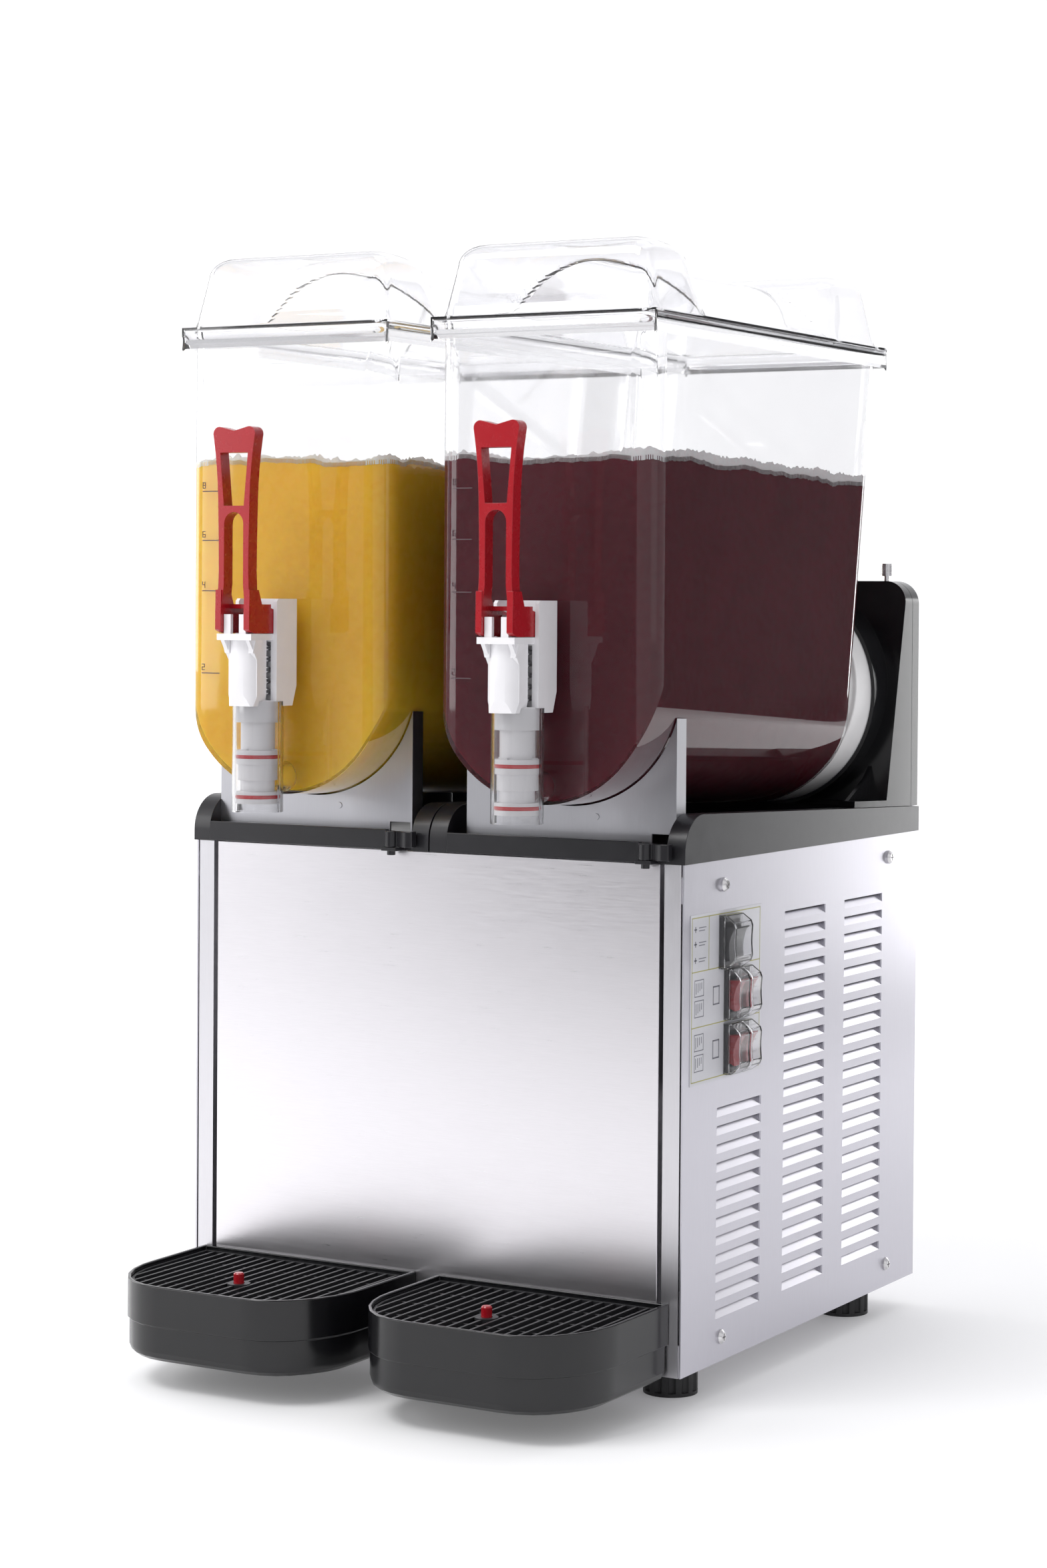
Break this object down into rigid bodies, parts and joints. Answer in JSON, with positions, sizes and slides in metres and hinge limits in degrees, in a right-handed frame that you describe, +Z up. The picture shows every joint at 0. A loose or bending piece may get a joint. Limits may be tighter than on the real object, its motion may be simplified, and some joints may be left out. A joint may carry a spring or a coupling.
{
  "type": "slushie machine",
  "caption": "Countertop frozen drink machine: louvred steel case, two clear tilted tanks with augers, domed lids, pull-lever taps, side rocker switches and hooked drip trays with grids.",
  "frame": {"origin": "middle of the bounding box at the floor", "axes": "+Z up, -Y towards the customer (taps and drip trays), +X the side with the switches"},
  "size_m": [0.4162, 0.541, 0.7936],
  "materials": {
    "case_steel": "brushed stainless sheet",
    "plate_steel": "brushed stainless sheet",
    "zinc_steel": "zinc plated",
    "drum_steel": "polished stainless",
    "motor_metal": "painted casting",
    "black_plastic": "fine moulded grain",
    "white_plastic": "smooth moulded",
    "red_plastic": "smooth moulded",
    "clear_plastic": "clear moulded polycarbonate",
    "clear_rubber": "clear flexible boot",
    "white_rubber": "food-grade rubber",
    "red_rubber": "food-grade rubber",
    "foot_rubber": "moulded rubber",
    "spring_steel": "bright wire",
    "screw_steel": "machined",
    "black_enamel": "enamelled",
    "aluminium": "fin stock",
    "label_film": "printed film"
  },
  "bodies": {
    "chassis": {"base_frame": "zinc_steel", "front_panel": "case_steel", "side_panel_left": "case_steel", "side_panel_right": "case_steel", "rear_panel": "case_steel", "deck_mouldings": "black_plastic", "tower_housing": "black_plastic", "tower_rear_cover": "black_plastic", "cradle_plates": "plate_steel", "evaporators": "drum_steel", "tank_gaskets": "white_rubber", "gear_motors": "motor_metal", "compressor": "black_enamel", "condenser": "aluminium", "fan_shroud": "black_plastic", "control_box": "zinc_steel", "cord_inlet": "black_plastic", "control_label": "label_film", "switch_bodies": "black_plastic", "switch_boots": "clear_rubber", "case_screws": "screw_steel", "front_bars": "black_plastic"},
    "tank_left": {"tank_left": "clear_plastic", "tap_housing_left": "white_plastic", "tap_spring_left": "spring_steel"},
    "lid_left": {"lid_left": "clear_plastic"},
    "piston_left": {"piston_left": "white_plastic", "piston_seals_left": "red_rubber"},
    "lever_left": {"lever_left": "red_plastic"},
    "auger_left": {"auger_left": "white_plastic", "drive_shaft_left": "drum_steel"},
    "density_screw_left": {"density_screw_left": "screw_steel"},
    "drip_tray_left": {"drip_tray_left": "black_plastic"},
    "grid_left": {"grid_left": "black_plastic"},
    "float_left": {"float_left": "red_plastic"},
    "latch_left": {"latch_left": "black_plastic"},
    "tank_right": {"tank_right": "clear_plastic", "tap_housing_right": "white_plastic", "tap_spring_right": "spring_steel"},
    "lid_right": {"lid_right": "clear_plastic"},
    "piston_right": {"piston_right": "white_plastic", "piston_seals_right": "red_rubber"},
    "lever_right": {"lever_right": "red_plastic"},
    "auger_right": {"auger_right": "white_plastic", "drive_shaft_right": "drum_steel"},
    "density_screw_right": {"density_screw_right": "screw_steel"},
    "drip_tray_right": {"drip_tray_right": "black_plastic"},
    "grid_right": {"grid_right": "black_plastic"},
    "float_right": {"float_right": "red_plastic"},
    "latch_right": {"latch_right": "black_plastic"},
    "foot_front_left": {"foot_front_left": "foot_rubber"},
    "foot_front_right": {"foot_front_right": "foot_rubber"},
    "foot_rear_left": {"foot_rear_left": "foot_rubber"},
    "foot_rear_right": {"foot_rear_right": "foot_rubber"},
    "fan_blade": {"fan_blade": "aluminium"},
    "rocker_main": {"rocker_main": "black_plastic"},
    "rocker_upper_left": {"rocker_upper_left": "red_plastic"},
    "rocker_upper_right": {"rocker_upper_right": "red_plastic"},
    "rocker_lower_left": {"rocker_lower_left": "red_plastic"},
    "rocker_lower_right": {"rocker_lower_right": "red_plastic"}
  },
  "joints": [
    {"name": "tank_slide_left", "type": "slide", "parent": "chassis", "child": "tank_left", "axis": [0, -0.999, 0.0454], "range_m": [0, 0.33]},
    {"name": "lid_lift_left", "type": "slide", "parent": "tank_left", "child": "lid_left", "axis": [0, 0, 1], "range_m": [0, 0.08]},
    {"name": "piston_slide_left", "type": "slide", "parent": "tank_left", "child": "piston_left", "axis": [0, 0, 1], "range_m": [0, 0.0175], "deforming": ["tap_spring_left"]},
    {"name": "lever_hinge_left", "type": "hinge", "parent": "piston_left", "child": "lever_left", "pos_m": [-0.11009, -0.1845, 0.532], "axis": [1, 0, 0], "range_deg": [0, 30], "stiffness_Nm_per_rad": 0.98, "springref_deg": -13.89},
    {"name": "auger_turn_left", "type": "hinge", "parent": "chassis", "child": "auger_left", "pos_m": [-0.11009, -0.1625, 0.4945], "axis": [0, 0.999, -0.0454], "continuous": true},
    {"name": "density_turn_left", "type": "hinge", "parent": "chassis", "child": "density_screw_left", "pos_m": [-0.18509, 0.2495, 0.569], "axis": [0, 0, 1], "continuous": true},
    {"name": "tray_slide_left", "type": "slide", "parent": "chassis", "child": "drip_tray_left", "axis": [0, -1, 0], "range_m": [0, 0.08]},
    {"name": "grid_lift_left", "type": "slide", "parent": "drip_tray_left", "child": "grid_left", "axis": [0, 0, 1], "range_m": [0, 0.04]},
    {"name": "float_rise_left", "type": "slide", "parent": "drip_tray_left", "child": "float_left", "axis": [0, 0, 1], "range_m": [0, 0.01]},
    {"name": "latch_turn_left", "type": "hinge", "parent": "chassis", "child": "latch_left", "pos_m": [-0.03309, -0.1395, 0.379], "axis": [0, 0, -1], "range_deg": [0, 90]},
    {"name": "foot_height_front_left", "type": "slide", "parent": "chassis", "child": "foot_front_left", "axis": [0, 0, 1], "range_m": [-0.012, 0]},
    {"name": "foot_height_rear_left", "type": "slide", "parent": "chassis", "child": "foot_rear_left", "axis": [0, 0, 1], "range_m": [-0.012, 0]},
    {"name": "tank_slide_right", "type": "slide", "parent": "chassis", "child": "tank_right", "axis": [0, -0.999, 0.0454], "range_m": [0, 0.33]},
    {"name": "lid_lift_right", "type": "slide", "parent": "tank_right", "child": "lid_right", "axis": [0, 0, 1], "range_m": [0, 0.08]},
    {"name": "piston_slide_right", "type": "slide", "parent": "tank_right", "child": "piston_right", "axis": [0, 0, 1], "range_m": [0, 0.0175], "deforming": ["tap_spring_right"]},
    {"name": "lever_hinge_right", "type": "hinge", "parent": "piston_right", "child": "lever_right", "pos_m": [0.09991, -0.1845, 0.532], "axis": [1, 0, 0], "range_deg": [0, 30], "stiffness_Nm_per_rad": 0.98, "springref_deg": -13.89},
    {"name": "auger_turn_right", "type": "hinge", "parent": "chassis", "child": "auger_right", "pos_m": [0.09991, -0.1625, 0.4945], "axis": [0, 0.999, -0.0454], "continuous": true},
    {"name": "density_turn_right", "type": "hinge", "parent": "chassis", "child": "density_screw_right", "pos_m": [0.17491, 0.2495, 0.569], "axis": [0, 0, 1], "continuous": true},
    {"name": "tray_slide_right", "type": "slide", "parent": "chassis", "child": "drip_tray_right", "axis": [0, -1, 0], "range_m": [0, 0.08]},
    {"name": "grid_lift_right", "type": "slide", "parent": "drip_tray_right", "child": "grid_right", "axis": [0, 0, 1], "range_m": [0, 0.04]},
    {"name": "float_rise_right", "type": "slide", "parent": "drip_tray_right", "child": "float_right", "axis": [0, 0, 1], "range_m": [0, 0.01]},
    {"name": "latch_turn_right", "type": "hinge", "parent": "chassis", "child": "latch_right", "pos_m": [0.16891, -0.1395, 0.379], "axis": [0, 0, -1], "range_deg": [0, 90]},
    {"name": "foot_height_front_right", "type": "slide", "parent": "chassis", "child": "foot_front_right", "axis": [0, 0, 1], "range_m": [-0.012, 0]},
    {"name": "foot_height_rear_right", "type": "slide", "parent": "chassis", "child": "foot_rear_right", "axis": [0, 0, 1], "range_m": [-0.012, 0]},
    {"name": "fan_turn", "type": "hinge", "parent": "chassis", "child": "fan_blade", "pos_m": [0.13441, 0.1255, 0.174], "axis": [1, 0, 0], "continuous": true},
    {"name": "rocker_tilt_main", "type": "hinge", "parent": "chassis", "child": "rocker_main", "pos_m": [0.19831, -0.0655, 0.3145], "axis": [0, 1, 0], "range_deg": [-20, 0]},
    {"name": "rocker_tilt_upper_left", "type": "hinge", "parent": "chassis", "child": "rocker_upper_left", "pos_m": [0.19831, -0.063, 0.2778], "axis": [0, 1, 0], "range_deg": [-20, 0]},
    {"name": "rocker_tilt_upper_right", "type": "hinge", "parent": "chassis", "child": "rocker_upper_right", "pos_m": [0.19831, -0.0442, 0.2778], "axis": [0, 1, 0], "range_deg": [-20, 0]},
    {"name": "rocker_tilt_lower_left", "type": "hinge", "parent": "chassis", "child": "rocker_lower_left", "pos_m": [0.19831, -0.063, 0.24], "axis": [0, 1, 0], "range_deg": [-20, 0]},
    {"name": "rocker_tilt_lower_right", "type": "hinge", "parent": "chassis", "child": "rocker_lower_right", "pos_m": [0.19831, -0.0442, 0.24], "axis": [0, 1, 0], "range_deg": [-20, 0]}
  ],
  "couplings": [
    {"joint": "piston_slide_left", "follows": "lever_hinge_left", "m_per_rad": 0.033},
    {"joint": "piston_slide_right", "follows": "lever_hinge_right", "m_per_rad": 0.033}
  ]
}
